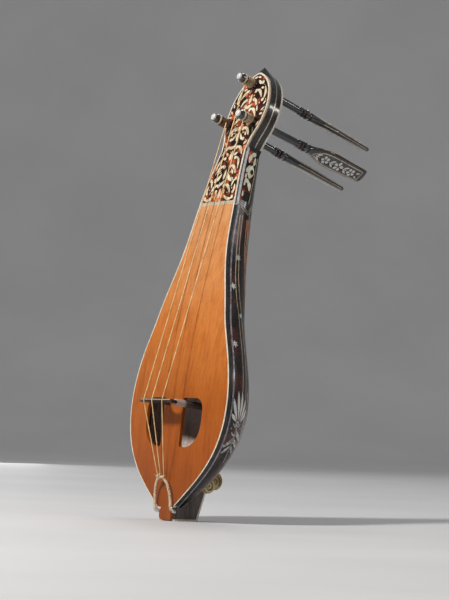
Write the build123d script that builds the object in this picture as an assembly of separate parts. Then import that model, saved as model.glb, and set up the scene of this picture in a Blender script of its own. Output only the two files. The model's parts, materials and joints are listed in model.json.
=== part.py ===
from build123d import *
import math
import os

# A three-string pear-shaped bowed lute (classical kemence), 417 mm tall to the
# pointed crest behind its face plate.
# +Z runs from the foot to the head, -Y is the playing side, +X is the right
# side seen from the front. The origin is the middle of the foot's underside.

# ---- driving dimensions (mm, degrees) ----
FOOT_HALF_W = 10.3
FOOT_D = 28.4
FRONT_Y = -FOOT_D / 2            # front face at the foot
HEAD_TILT = 20.1                 # flat head leans back this far
# lengthwise sweep of the front: each arc's upper end and its slope there
SWEEP = [(205.0, 13.2), (285.0, 15.3), (330.0, HEAD_TILT)]
CROWN_R = 715.0                  # crosswise crown of the front
HEAD_T = 17.0                    # head thickness
PLATE_T = 3.0                    # soundboard and face plate
WALL_T = 3.0                     # staves
EDGE_W = 1.6                     # bone edging, seen from the front
SEAM_Z = 286.0                   # soundboard meets face plate
STAVES = 7
FILLET_W = 1.1                   # light fillets between the staves

# (height, half width, straight rim, depth) of the pear from foot to neck
STATIONS = [
    (12, 12.4, 2, 18),
    (22, 26.2, 3, 26),
    (45, 53.4, 4, 40),
    (72, 71.8, 5, 49.5),
    (103, 78.0, 5, 52),
    (140, 72.2, 5, 47),
    (180, 56.4, 6, 42.5),
    (220, 42.4, 8, 40),
    (255, 32.8, 10, 36.5),
    (290, 28.0, 12, 31.5),
    (315, 23.4, 13, 28),
    (334, 19.9, 13, 24),
    (350, 16.6, 12, 18),
]
# head outline, on the flat of the face above the end of the sweep
WAIST_HALF_W = 19.3
WAIST_V = 4.0
WAIST_R = 48.5
SHOULDER_V = 26.0
CHEEK = (26.2, 65.0)
CROWN_V = 87.5                   # top of the face plate
CREST_FRONT_V = 95.0             # the core behind it rises to a ridge
CREST_BACK_V = 88.7              # that falls towards the back

# sound holes: two D shapes either side of a tongue
HOLE_IN = 15.0
HOLE_OUT = 44.6
HOLE_BOTTOM = 66.0
HOLE_TOP = 110.0

# pegs, each straight through the head from the back
PEG_R = 3.7
PEG_PLAY = 0.05
PEG_SIDE_X = 19.8
PEG_SIDE_V = 34.5
PEG_TOP_V = 74.0
RIGHT_IN = 1.3                   # the right peg's hole is this much nearer the middle
RIGHT_UP = 1.3                   # and this much higher, as the peg leans
RIGHT_LEAN_IN = 3.4
RIGHT_LIFT = 3.5
STUB = 21.0                      # front end, face to tip
PEG_BACK = 136.5                 # back end, face to end of the blade
BLADE_START = 67.0

# stringing
STRING_R = 0.5
BRIDGE_Z = 104.5
BRIDGE_H = 23.5
BRIDGE_HALF_W = 26.0
BRIDGE_T = 2.8
STRING_GAP = 15.0
POST_X = 18.6
POST_R = 3.2
POST_OUT = 11.0                  # post stands this far out of the hole
GUT_R = 1.2

TILT = math.radians(HEAD_TILT)
BACKWARD = Vector(0, math.cos(TILT), -math.sin(TILT))
UPFACE = Vector(0, math.sin(TILT), math.cos(TILT))


# ---- the swept, crowned front ----
def sweep_arcs():
    """Arc centre, radius, lower and upper slope of each stretch, from the foot up."""
    arcs = []
    y, z, slope = FRONT_Y, 0.0, 0.0
    for top, degrees in SWEEP:
        upper = math.radians(degrees)
        r = (top - z) / (math.sin(upper) - math.sin(slope))
        cy = y + r * math.cos(slope)
        cz = z - r * math.sin(slope)
        arcs.append((cy, cz, r, slope, upper))
        y, z, slope = cy - r * math.cos(upper), top, upper
    return arcs


ARCS = sweep_arcs()
SWEEP_TOP_Z = SWEEP[-1][0]
SWEEP_TOP_Y = ARCS[-1][0] - ARCS[-1][2] * math.cos(TILT)


def front_y(z):
    """Middle line of the front at height z."""
    if z < 0:
        return FRONT_Y
    for (top, _), (cy, cz, r, _, _) in zip(SWEEP, ARCS):
        if z <= top:
            return cy - math.sqrt(r ** 2 - (z - cz) ** 2)
    return SWEEP_TOP_Y + (z - SWEEP_TOP_Z) * math.tan(TILT)


def front_slope(z):
    """Lean of the front at height z, in radians."""
    for (top, _), (cy, cz, r, _, _) in zip(SWEEP, ARCS):
        if z <= top:
            return math.asin((z - cz) / r)
    return TILT


def crown_drop(x):
    """How far the crowned front falls back at x."""
    return CROWN_R - math.sqrt(CROWN_R ** 2 - x ** 2)


def sweep_point(depth, distance):
    """Point under the flat head, some way up the face."""
    y = SWEEP_TOP_Y + BACKWARD.Y * depth + UPFACE.Y * distance
    z = SWEEP_TOP_Z + BACKWARD.Z * depth + UPFACE.Z * distance
    return (y, z)


def arc_point(arc, depth, slope):
    cy, cz, r = arc[:3]
    return (cy - (r - depth) * math.cos(slope), cz + (r - depth) * math.sin(slope))


def sweep_line(depth):
    """Front line at a depth, from under the foot to past the crown."""
    line = Line((FRONT_Y + depth, -12), (FRONT_Y + depth, 0))
    for arc in ARCS:
        low, high = arc[3], arc[4]
        points = [arc_point(arc, depth, a) for a in (low, (low + high) / 2, high)]
        line += ThreePointArc(*points)
    line += Line(sweep_point(depth, 0), sweep_point(depth, 115))
    return line


def layer(near, far):
    """Everything between two depths under the front."""
    edges = sweep_line(near) + sweep_line(far)
    edges += Line(sweep_point(near, 115), sweep_point(far, 115))
    edges += Line((FRONT_Y + near, -12), (FRONT_Y + far, -12))
    face = Plane.YZ * make_face(edges)
    axis = Axis((0, FRONT_Y + CROWN_R, 0), (0, 0, 1))
    fan = revolve(face, axis, revolution_arc=16)
    return fan.rotate(axis, -8)


# ---- pear and head outlines ----
def station(z, half_w, rim, depth, inset):
    """One D-shaped cross-section of the pear."""
    w = half_w - inset
    front = front_y(z) - 8
    edge = front_y(z) + crown_drop(half_w) + rim
    back = depth - rim - inset
    plane = Plane.XY.offset(z)
    d = Line((w, edge), (w, front))
    d += Line((w, front), (-w, front))
    d += Line((-w, front), (-w, edge))
    d += EllipticalCenterArc((0, edge), w, back, start_angle=0, arc_size=180)
    return plane * make_face(d)


def pear(inset):
    return loft([station(z, w, rim, d, inset) for z, w, rim, d in STATIONS])


HEAD_PLANE = Plane(
    origin=(0, SWEEP_TOP_Y, SWEEP_TOP_Z), x_dir=(1, 0, 0), z_dir=-BACKWARD
)


def waist_x(v):
    """Hollow side of the head's waist."""
    return WAIST_HALF_W + WAIST_R - math.sqrt(WAIST_R ** 2 - (v - WAIST_V) ** 2)


def head_face(inset, crown_v=CROWN_V):
    """Hollow waist, full cheeks and a slightly pointed crown."""
    low = WAIST_V - 12
    waist = ThreePointArc(
        (waist_x(low), low), (waist_x(WAIST_V), WAIST_V), (waist_x(SHOULDER_V), SHOULDER_V)
    )
    cheek = TangentArc(waist @ 1, CHEEK, tangent=waist % 1)
    crown = TangentArc(CHEEK, (0, crown_v), tangent=cheek % 1)
    side = waist + cheek + crown
    outline = make_face(side + mirror(side, about=Plane.YZ) + Line((-waist_x(low), low), waist @ 0))
    if inset:
        outline = offset(outline, -inset, kind=Kind.INTERSECTION)
    return outline


def head(inset, near=-8.0, far=HEAD_T):
    face = HEAD_PLANE.offset(-near) * head_face(inset)
    return extrude(face, amount=-(far - near))


def whole(inset):
    return pear(inset) + head(inset)


def crest(inset):
    """Head behind the face plate: its pointed ridge falls from front to back."""
    front = head_face(inset, CREST_FRONT_V)
    back = HEAD_PLANE.offset(-HEAD_T) * head_face(inset, CREST_BACK_V)
    return loft([HEAD_PLANE * front, back], ruled=True)


def head_slab(near, far):
    """Everything between two depths under the flat of the face."""
    box = Box(400, 400, far - near, align=(Align.CENTER, Align.CENTER, Align.MAX))
    return HEAD_PLANE.offset(-near) * box


# ---- cutting planes ----
SEAM_TILT = front_slope(SEAM_Z)
SEAM_PLANE = Plane(
    origin=(0, front_y(SEAM_Z), SEAM_Z),
    x_dir=(1, 0, 0),
    z_dir=(0, math.sin(SEAM_TILT), math.cos(SEAM_TILT)),
)


def above(plane, gap=0.0, size=400):
    box = Box(size, size, size, align=(Align.CENTER, Align.CENTER, Align.MIN))
    return plane.offset(gap) * box


def below(plane, gap=0.0, size=400):
    box = Box(size, size, size, align=(Align.CENTER, Align.CENTER, Align.MAX))
    return plane.offset(-gap) * box


# ---- pegs ----
# place across and up the face, turn at rest, lean inwards and lift of the back end
PEGS = {
    "top": (0.0, PEG_TOP_V, 17.0, 0.0, 0.0),
    "left": (-PEG_SIDE_X, PEG_SIDE_V, 17.0, 0.0, 0.0),
    "right": (PEG_SIDE_X - RIGHT_IN, PEG_SIDE_V + RIGHT_UP, -40.0, RIGHT_LEAN_IN, RIGHT_LIFT),
}


def peg_base(name):
    """On the face at the peg, Z pointing out of the back."""
    x, v, _, lean_in, lift = PEGS[name]
    y, z = sweep_point(0, v)
    down = TILT - math.radians(lift)
    inward = -math.copysign(math.sin(math.radians(lean_in)), x)
    along = Vector(inward, math.cos(down), -math.sin(down)).normalized()
    across = Vector(1, 0, 0) - along * along.X
    return Plane(origin=(x, y, z), x_dir=across.normalized(), z_dir=along)


def peg_plane(name):
    """The same, turned to rest."""
    return peg_base(name) * Location((0, 0, 0), (0, 0, PEGS[name][2]))


def peg_bores():
    bore = Cylinder(PEG_R + PEG_PLAY, 80)
    return [peg_plane(n) * bore for n in PEGS]


def blade():
    """Flat handle: long rounded sections from the shaft to a square end."""
    sections = [
        (BLADE_START, 4.1, 4.1),
        (BLADE_START + 9, 6.0, 3.8),
        (BLADE_START + 20, 8.8, 3.9),
        (BLADE_START + 34, 9.7, 3.8),
        (BLADE_START + 52, 8.8, 3.3),
        (PEG_BACK, 7.6, 2.9),
    ]
    faces = [Plane.XY.offset(z) * Ellipse(w, t) for z, w, t in sections]
    return loft(faces)


def peg_shaft():
    """Ebony peg: front stub, shaft, turned neck and flat blade in one."""
    r = PEG_R
    top = BLADE_START - 1.5
    line = Polyline(
        (0, -STUB + 2.2), (3.6, -STUB + 2.2), (4.4, -STUB + 4.2), (4.4, -STUB + 6.0),
        (r - 0.4, -STUB + 6.6), (r - 0.4, -STUB + 8.4), (r, -STUB + 8.6), (r, top - 14),
    )
    line += ThreePointArc((r, top - 14), (4.3, top - 12), (4.1, top - 10))
    line += Line((4.1, top - 10), (3.1, top - 9))
    line += Line((3.1, top - 9), (3.1, top - 5.8))
    line += Line((3.1, top - 5.8), (4.0, top - 5.2))
    line += ThreePointArc((4.0, top - 5.2), (4.9, top - 3.5), (4.0, top - 1.8))
    line += Line((4.0, top - 1.8), (3.4, top))
    line += Line((3.4, top), (3.4, top + 3))
    line += Line((3.4, top + 3), (0, top + 3))
    line += Line((0, top + 3), (0, -STUB + 2.2))
    body = revolve(Plane.XZ * make_face(line), Axis.Z)
    return body + blade()


def peg_ring():
    """Bone collar let into the turned neck."""
    ring = Cylinder(4.3, 3.2) - Cylinder(3.1, 3.2)
    ring = ring.translate((0, 0, BLADE_START - 8.9))
    return fillet(ring.edges().filter_by(GeomType.CIRCLE).group_by(SortBy.RADIUS)[-1], 0.8)


def knob_ring():
    """Bone ring round the front stub."""
    inner = PEG_R - 0.4
    ring = Cylinder(4.8, 1.8) - Cylinder(inner, 1.8)
    ring = ring.translate((0, 0, -STUB + 7.5))
    return fillet(ring.edges().filter_by(GeomType.CIRCLE).group_by(SortBy.RADIUS)[-1], 0.6)


def knob_tip():
    """Pearl button on the front end."""
    button = Cylinder(3.1, 2.2).translate((0, 0, -STUB + 1.1))
    return fillet(button.edges().sort_by(Axis.Z)[0], 1.5)


WIND_TURNS = 7
WIND_START = 4.2                 # first turn, in front of the face


def winding():
    """Turns of string packed side by side round the stub."""
    pitch = 2 * STRING_R
    z = -WIND_START
    end = z - WIND_TURNS * pitch
    outline = Line((PEG_R, end), (PEG_R, z))
    outline += Line((PEG_R, z), (PEG_R + STRING_R, z))
    for i in range(WIND_TURNS):
        a = z - i * pitch
        start = (PEG_R + STRING_R, a)
        bulge = (PEG_R + 2 * STRING_R, a - pitch / 2)
        outline += ThreePointArc(start, bulge, (PEG_R + STRING_R, a - pitch))
    outline += Line((PEG_R + STRING_R, end), (PEG_R, end))
    return revolve(Plane.XZ * make_face(outline), Axis.Z)


def peg_nodes(name):
    plane = peg_plane(name)
    return {
        "peg_%s" % name: plane * peg_shaft(),
        "peg_%s_collar" % name: plane * peg_ring(),
        "peg_%s_knob_ring" % name: plane * knob_ring(),
        "peg_%s_tip" % name: plane * knob_tip(),
        "peg_%s_winding" % name: plane * winding(),
    }


# ---- front parts ----
def d_hole(side):
    """D-shaped sound hole, flat towards the tongue and along the top."""
    r_low = 22.0
    r_top = 11.0
    a = (side * HOLE_IN, HOLE_BOTTOM + 1.5)
    b = (side * HOLE_IN, HOLE_TOP)
    c = (side * (HOLE_OUT - r_top), HOLE_TOP)
    m = math.sqrt(0.5)
    d = (side * HOLE_OUT, HOLE_TOP - r_top)
    cd = (side * (HOLE_OUT - r_top + r_top * m), HOLE_TOP - r_top + r_top * m)
    e = (side * HOLE_OUT, HOLE_BOTTOM + r_low)
    f = (side * (HOLE_OUT - r_low), HOLE_BOTTOM)
    ef = (side * (HOLE_OUT - r_low + r_low * m), HOLE_BOTTOM + r_low - r_low * m)
    g = (side * (HOLE_IN + 1.5), HOLE_BOTTOM)
    edges = Line(a, b) + Line(b, c) + ThreePointArc(c, cd, d)
    edges += Line(d, e) + ThreePointArc(e, ef, f) + Line(f, g) + Line(g, a)
    face = Plane.XZ * make_face(edges)
    return extrude(face, amount=40, both=True)


def tail_tongue():
    """Front of the foot: a strip with scalloped sides, rounded at the bottom."""
    w = 9.2
    right = [(w - 1.6, 0.8), (w, 3.4), (w - 0.2, 7.5), (w - 2.4, 12.5), (w - 0.6, 17.5), (w - 1.2, 24)]
    left = [(-x, z) for x, z in reversed(right)]
    edges = Spline(*right) + Line(right[-1], left[0]) + Spline(*left) + Line(left[-1], right[0])
    face = Plane.XZ * make_face(edges)
    return extrude(face, amount=40, both=True)


def foot_side():
    """Side view of the foot, before the bowl is taken off its top."""
    front = FRONT_Y + PLATE_T
    back = FOOT_D / 2
    corners = [(front, 0), (back, 0), (back + 8.3, 25.5), (front + 3, 27), (front + 0.1, 20)]
    edges = Polyline(*corners, corners[0])
    return Plane.YZ * make_face(edges)


def foot_blank(half_w):
    return extrude(foot_side(), amount=half_w, both=True)


def foot_edging():
    """Bone strip under the foot and up its back."""
    front = FRONT_Y + PLATE_T
    back = FOOT_D / 2
    t = 1.6
    rise = 25.5
    lean = 8.3
    edges = Polyline(
        (front, 0), (back, 0), (back + lean, rise), (back + lean - t, rise),
        (back - t, t), (front, t), (front, 0),
    )
    return extrude(Plane.YZ * make_face(edges), amount=FOOT_HALF_W, both=True)


def tail_scroll():
    """Carved volute standing off the lower back above the foot."""
    volute = Pos(35.2, 36.0) * Circle(8.2)
    volute += Pos(28.8, 30.8) * Circle(6.0)
    volute += Pos(36.0, 43.4) * Circle(3.2)
    volute += Pos(25.3, 27.4) * Circle(3.2)
    web = Polyline((22.7, 25.6), (24, 38), (30, 47), (36, 46), (33, 33), (26, 24.9), (22.7, 25.6))
    volute += make_face(web)
    return extrude(Plane.YZ * volute, amount=5.2, both=True)


# ---- stringing ----
SURFACE_TILT = front_slope(BRIDGE_Z)
BRIDGE_PLANE = Plane(
    origin=(0, front_y(BRIDGE_Z), BRIDGE_Z),
    x_dir=(1, 0, 0),
    z_dir=(0, math.sin(SURFACE_TILT), math.cos(SURFACE_TILT)),
)


def bridge_top(x):
    """Height of the bridge's crown at x."""
    r = 100.0
    return BRIDGE_H - r + math.sqrt(r ** 2 - x ** 2)


def bridge():
    """Thin plate: one leg on the tongue, the other on the sound post."""
    w = BRIDGE_HALF_W
    tip = bridge_top(w)
    toe = (-5.5, -crown_drop(5.5))
    heel = (-13.2, -crown_drop(13.2))
    out = Line(toe, heel)
    out += Spline(heel, (-13.6, 6), (-17.5, 12.8), (-w, tip - 2.4))
    out += Line((-w, tip - 2.4), (-w, tip))
    out += ThreePointArc((-w, tip), (0, BRIDGE_H), (w, tip))
    out += Line((w, tip), (w, tip - 2.4))
    out += Spline((w, tip - 2.4), (23.5, 15.2), (POST_X + 3, POST_OUT))
    out += Line((POST_X + 3, POST_OUT), (POST_X - 3, POST_OUT))
    out += Spline((POST_X - 3, POST_OUT), (9, 13.6), (1, 10.8), toe)
    plate = extrude(make_face(out), amount=BRIDGE_T / 2, both=True)
    return BRIDGE_PLANE * mirror(plate, about=Plane.XZ)


def sound_post(outside):
    """Round post from the inside of the back out through the right hole."""
    y = front_y(BRIDGE_Z) - math.cos(SURFACE_TILT) * POST_OUT
    z = BRIDGE_Z + math.sin(SURFACE_TILT) * POST_OUT
    direction = (0, math.cos(SURFACE_TILT), -math.sin(SURFACE_TILT))
    rod = extrude(Plane(origin=(POST_X, y, z), z_dir=direction) * Circle(POST_R), amount=90)
    return rod - outside


def string_path(peg, knot, bridge_x, side):
    """Knot, over the bridge, to the inner side of the peg's stub."""
    clear = PEG_R + 2 * STRING_R + STRING_R + 0.3
    end = tuple((peg_base(peg) * Pos(side * clear, 1, -8)).position)
    rise = bridge_top(bridge_x) + STRING_R
    top = BRIDGE_PLANE * Pos(bridge_x, -rise, 0)
    return FilletPolyline(knot, tuple(top.position), end, radius=8)


def string(peg, knot, bridge_x, side):
    path = string_path(peg, knot, bridge_x, side)
    start = Plane(origin=path @ 0, z_dir=path % 0)
    run = sweep(start * Circle(STRING_R), path=path)
    bead = Pos(*(path @ 0)) * Sphere(1.5)
    return run + bead


PIN_Y = FRONT_Y + 1.9
PIN_Z = 8.4


def tail_pin():
    """Silver pin across the foot with domed ends."""
    pin = Cylinder(1.1, 24.4, rotation=(0, 90, 0))
    for side in (-1, 1):
        pin += Pos(side * 12.6, 0, 0) * Sphere(1.7)
    return Pos(0, PIN_Y, PIN_Z) * pin


def tail_gut(pin):
    """Thick gut loop from pin end to pin end, arching up the front."""
    right = [
        (11.4, PIN_Y, PIN_Z),
        (12.2, front_y(12) - 2.4, 12.5),
        (12.4, front_y(21) - 3.0, 21.0),
        (9.4, front_y(32) - 4.6, 32.0),
    ]
    top = (0, front_y(38) - 6.4, 39.0)
    left = [(-x, y, z) for x, y, z in reversed(right)]
    path = FilletPolyline(*right, top, *left, radius=2.0)
    start = Plane(origin=path @ 0, z_dir=path % 0)
    return sweep(start * Circle(GUT_R), path=path) - pin


# ---- body, staves and edges ----
FAN_FOOT = Vector(0, FRONT_Y + 7, STATIONS[0][0])
FAN_NECK = Vector(0, front_y(SEAM_Z) + 7, SEAM_Z)


def fan_slab(number):
    """Half plane of fillet thickness, turned about the line up the bowl."""
    up = (FAN_NECK - FAN_FOOT).normalized()
    angle = math.pi * number / STAVES
    back = Vector(1, 0, 0).cross(up) * -math.sin(angle)
    out = Vector(math.cos(angle), 0, 0) + back
    plane = Plane(origin=FAN_FOOT, x_dir=out, z_dir=up.cross(out))
    return plane * Box(150, 900, FILLET_W, align=(Align.MIN, Align.CENTER, Align.CENTER))


def one(shape):
    """The single largest solid of a shape."""
    return max(shape.solids(), key=lambda s: s.volume)


def stave_angle(solid):
    c = solid.center(CenterOf.MASS)
    t = (c.Z - FAN_FOOT.Z) / (FAN_NECK.Z - FAN_FOOT.Z)
    axis = FAN_FOOT + (FAN_NECK - FAN_FOOT) * t
    return math.atan2(c.Y - axis.Y, c.X)


def half(shape, side):
    box = Box(300, 600, 900, align=(Align.MIN if side > 0 else Align.MAX, Align.CENTER, Align.CENTER))
    return one(shape & box)


def level(low, high):
    return Pos(0, 0, low) * Box(400, 400, high - low, align=(Align.CENTER, Align.CENTER, Align.MIN))


def head_level(distance):
    y, z = sweep_point(0, distance)
    return Plane(origin=(0, y, z), x_dir=(1, 0, 0), z_dir=UPFACE)


def head_ring(width, near, far):
    """Band let into the side of the head, round its top."""
    ring = (crest(0) - crest(width)) & head_slab(near, far)
    return one(ring & above(head_level(13)))


def build():
    parts = {}
    plate = layer(0, PLATE_T)
    behind = layer(PLATE_T, 200)
    board_side = below(SEAM_PLANE)
    band_top = SEAM_PLANE.offset(3.4)
    bores = peg_bores()

    outer = pear(0)
    inner = pear(WALL_T)
    full = whole(0)
    trimmed = whole(EDGE_W)

    # front
    board = pear(EDGE_W) & plate & board_side
    board += tail_tongue() & plate & level(-1, 26)
    pin = tail_pin()
    parts["soundboard"] = one(board - d_hole(1) - d_hole(-1) - pin)
    edge = (outer - pear(EDGE_W)) & plate & board_side
    parts["edging_right"] = half(edge, 1)
    parts["edging_left"] = half(edge, -1)
    parts["seam_band"] = one(trimmed & plate & above(SEAM_PLANE) & below(band_top))
    parts["face_plate"] = one(trimmed & plate & above(band_top)) - bores
    parts["face_edging"] = one((full - trimmed) & plate & above(SEAM_PLANE))

    # bowl of staves with fillets, and the strips along its rim
    rim = (outer - pear(0.8)) & layer(4.6, 6.2) & board_side
    for side, name in ((1, "right"), (-1, "left")):
        parts["rim_strip_%s" % name] = half(rim, side)
    shell = (outer - inner) & behind & board_side
    shell -= parts["rim_strip_right"]
    shell -= parts["rim_strip_left"]
    slabs = [fan_slab(i) for i in range(1, STAVES)]
    for i, slab in enumerate(slabs):
        parts["fillet_%d" % (i + 1)] = one(shell & slab)
        shell -= slab
    staves = sorted(shell.solids(), key=lambda s: -s.volume)[:STAVES]
    for i, stave in enumerate(sorted(staves, key=stave_angle)):
        parts["stave_%d" % (i + 1)] = stave
    parts["tail_block"] = one(inner & behind & level(12, 34))

    # neck and head, with a heel inside the bowl
    neck = (outer + crest(0)) & behind & above(SEAM_PLANE)
    neck += inner & behind & board_side & level(262, 300)
    panels = (full - whole(0.7)) & layer(4.6, 15.0)
    panels = panels & above(SEAM_PLANE, 6) & below(head_level(9))
    for side, name in ((1, "right"), (-1, "left")):
        parts["neck_panel_%s" % name] = half(panels, side)
    parts["head_line"] = head_ring(0.8, 8.6, 9.8)
    parts["head_back_edge"] = head_ring(1.6, HEAD_T - 2, HEAD_T)
    for name in ("neck_panel_right", "neck_panel_left", "head_line", "head_back_edge"):
        neck -= parts[name]
    parts["neck"] = one(neck - bores)

    # foot
    edging = one(foot_edging() - outer - parts["soundboard"])
    parts["foot_edging"] = edging
    parts["foot"] = one(foot_blank(FOOT_HALF_W) - outer - edging - pin - parts["soundboard"])
    parts["tail_scroll"] = one(tail_scroll() - outer - parts["foot"] - edging)
    parts["tail_pin"] = pin
    parts["tail_gut"] = one(tail_gut(pin))

    # stringing
    parts["bridge"] = one(bridge() - parts["soundboard"])
    parts["sound_post"] = one(sound_post(layer(5, 200) - inner))
    knots = {
        "left": ((-4.8, front_y(38) - 6.2, 39.2), -STRING_GAP, 1),
        "middle": ((0, front_y(40) - 6.8, 41.0), 0, -1),
        "right": ((4.8, front_y(38) - 6.2, 39.2), STRING_GAP, -1),
    }
    for name, (knot, x, side) in knots.items():
        peg = "top" if name == "middle" else name
        run = string(peg, knot, x, side) - parts["tail_gut"] - parts["bridge"]
        parts["string_%s" % name] = one(run)

    for name in PEGS:
        parts.update(peg_nodes(name))
    return parts


os.makedirs("parts", exist_ok=True)
for node, shape in build().items():
    shape.label = node
    export_step(shape, "parts/%s.step" % node)
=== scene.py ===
"""Classical kemence, a pear-shaped bowed lute with three strings: its looks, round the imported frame.

Objects are in metres in the frame of the CAD: +Z from the foot up to the head, -Y out of the playing
side, +X to the right seen from the front. Patterns are drawn in millimetres and dropped on a surface.
"""

import json
import math
import random

import bmesh
import bpy
import numpy as np
from mathutils import Matrix, Vector
from mathutils.bvhtree import BVHTree


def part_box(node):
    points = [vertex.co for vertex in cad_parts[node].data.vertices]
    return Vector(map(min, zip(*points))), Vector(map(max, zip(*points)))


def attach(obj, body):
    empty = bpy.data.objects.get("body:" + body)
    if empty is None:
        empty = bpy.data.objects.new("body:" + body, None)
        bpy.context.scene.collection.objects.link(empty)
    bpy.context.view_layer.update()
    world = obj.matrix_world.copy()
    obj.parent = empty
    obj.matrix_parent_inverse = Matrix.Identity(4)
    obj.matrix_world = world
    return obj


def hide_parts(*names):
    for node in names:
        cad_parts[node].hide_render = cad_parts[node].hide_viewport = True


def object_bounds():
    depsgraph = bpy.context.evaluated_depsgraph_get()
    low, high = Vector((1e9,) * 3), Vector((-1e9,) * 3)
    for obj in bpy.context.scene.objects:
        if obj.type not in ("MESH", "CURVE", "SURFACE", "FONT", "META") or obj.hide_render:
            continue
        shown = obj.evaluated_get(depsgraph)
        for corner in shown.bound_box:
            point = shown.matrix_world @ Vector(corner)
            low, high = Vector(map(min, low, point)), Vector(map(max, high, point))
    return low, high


MM = 0.001
WHITE = (1.0, 1.0, 1.0)
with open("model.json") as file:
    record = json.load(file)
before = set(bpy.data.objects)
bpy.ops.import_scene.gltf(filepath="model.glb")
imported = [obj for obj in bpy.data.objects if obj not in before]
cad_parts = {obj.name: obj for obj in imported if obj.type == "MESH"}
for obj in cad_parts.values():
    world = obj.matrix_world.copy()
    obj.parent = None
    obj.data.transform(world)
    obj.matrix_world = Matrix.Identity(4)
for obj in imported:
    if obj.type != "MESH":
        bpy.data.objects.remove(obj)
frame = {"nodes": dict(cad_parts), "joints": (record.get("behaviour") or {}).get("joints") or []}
CAD_LOW, CAD_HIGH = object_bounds()
NODES = frame["nodes"]
JOINTS = {j["child"]: j for j in frame["joints"]}
PEG_AXIS = Vector(JOINTS["peg_top"]["axis"]).normalized()
# Turns a material's Y axis along the pegs, and so its Z axis along the head.
TILTED = (-math.atan2(-PEG_AXIS.z, PEG_AXIS.y), 0, 0)


# ---------------------------------------------------------------- materials
# Every material by the name it is asked for, as Blender may add a number to its own.
MATS = {}


class Graph:
    """One procedural material: a principled shader and the nodes that feed it."""

    def __init__(self, name, **sockets):
        MATS[name] = material = bpy.data.materials.new(name)
        material.use_nodes = True
        self.nodes = material.node_tree.nodes
        self.links = material.node_tree.links
        self.nodes.clear()
        self.shader = self.nodes.new("ShaderNodeBsdfPrincipled")
        output = self.nodes.new("ShaderNodeOutputMaterial")
        self.links.new(self.shader.outputs["BSDF"], output.inputs["Surface"])
        for socket, value in sockets.items():
            self.feed(self.shader, socket.replace("_", " "), value)
        self.place = self.node("TexCoord").outputs["Object"]

    def feed(self, node, socket, value):
        if isinstance(value, bpy.types.NodeSocket):
            self.links.new(value, node.inputs[socket])
        else:
            node.inputs[socket].default_value = value

    def node(self, kind, feeds=None, **settings):
        made = self.nodes.new("ShaderNode" + kind)
        for name, value in settings.items():
            setattr(made, name, value)
        for socket, value in (feeds or {}).items():
            self.feed(made, socket, value)
        return made

    def stretch(self, scale, vector=None, turn=(0, 0, 0)):
        """Coordinates turned first, then scaled."""
        sizes = tuple(1 / s for s in scale)
        feeds = {"Vector": vector or self.place, "Rotation": turn, "Scale": sizes}
        return self.node("Mapping", feeds, vector_type="TEXTURE").outputs[0]

    def noise(self, scale, detail=3.0, vector=None, distortion=0.0):
        feeds = {"Vector": vector or self.place, "Scale": scale, "Detail": detail}
        feeds.update({"Distortion": distortion, "Roughness": 0.55})
        return self.node("TexNoise", feeds).outputs["Fac"]

    def warp(self, scale, amount):
        """The object's coordinates pushed about by a slow noise."""
        feeds = {"Vector": self.place, "Scale": scale, "Detail": 2.0}
        push = self.node("TexNoise", feeds).outputs["Color"]
        feeds = {0: push, 1: (amount, amount, amount), 2: self.place}
        return self.node("VectorMath", feeds, operation="MULTIPLY_ADD").outputs[0]

    def math(self, operation, a, b):
        return self.node("Math", {0: a, 1: b}, operation=operation).outputs[0]

    def ramp(self, fac, *stops):
        """Stops are (position, linear colour)."""
        made = self.node("ValToRGB", {"Fac": fac})
        elements = made.color_ramp.elements
        while len(elements) < len(stops):
            elements.new(0.5)
        for element, (position, colour) in zip(elements, stops):
            element.position = position
            element.color = (*colour, 1)
        return made.outputs["Color"]

    def mix(self, fac, a, b, blend="MIX"):
        """Mixes two colours; the node's inputs 0, 6 and 7 are the factor and the colours."""
        made = self.node("Mix", data_type="RGBA", blend_type=blend)
        for index, value in ((0, fac), (6, a), (7, b)):
            if isinstance(value, bpy.types.NodeSocket):
                self.links.new(value, made.inputs[index])
            elif index:
                made.inputs[index].default_value = (*value, 1)
            else:
                made.inputs[index].default_value = value
        return made.outputs[2]

    def darken(self, colour, amount, fac, start, shade, end):
        """Multiplies the colour by a shade where fac is under start, and by nothing over end."""
        return self.mix(amount, colour, self.ramp(fac, (start, shade), (end, WHITE)), "MULTIPLY")

    def blend(self, a, b, share):
        """Weighted mean of two values; the share is a's."""
        return self.math("ADD", self.math("MULTIPLY", a, share), self.math("MULTIPLY", b, 1 - share))

    def range(self, fac, low, high, start=0.3, end=0.7):
        """Maps start..end to low..high, and stays at those outside."""
        feeds = {"Value": fac, "From Min": start, "From Max": end, "To Min": low, "To Max": high}
        return self.node("MapRange", feeds).outputs[0]

    def finish(self, colour, roughness, height=None, depth=0.0002, strength=0.4):
        """Sets the shader; height drives a bump that is depth metres deep."""
        self.feed(self.shader, "Base Color", colour)
        self.feed(self.shader, "Roughness", roughness)
        if height is not None:
            bump = self.node("Bump", {"Height": height, "Strength": strength, "Distance": depth})
            self.feed(self.shader, "Normal", bump.outputs[0])


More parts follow.
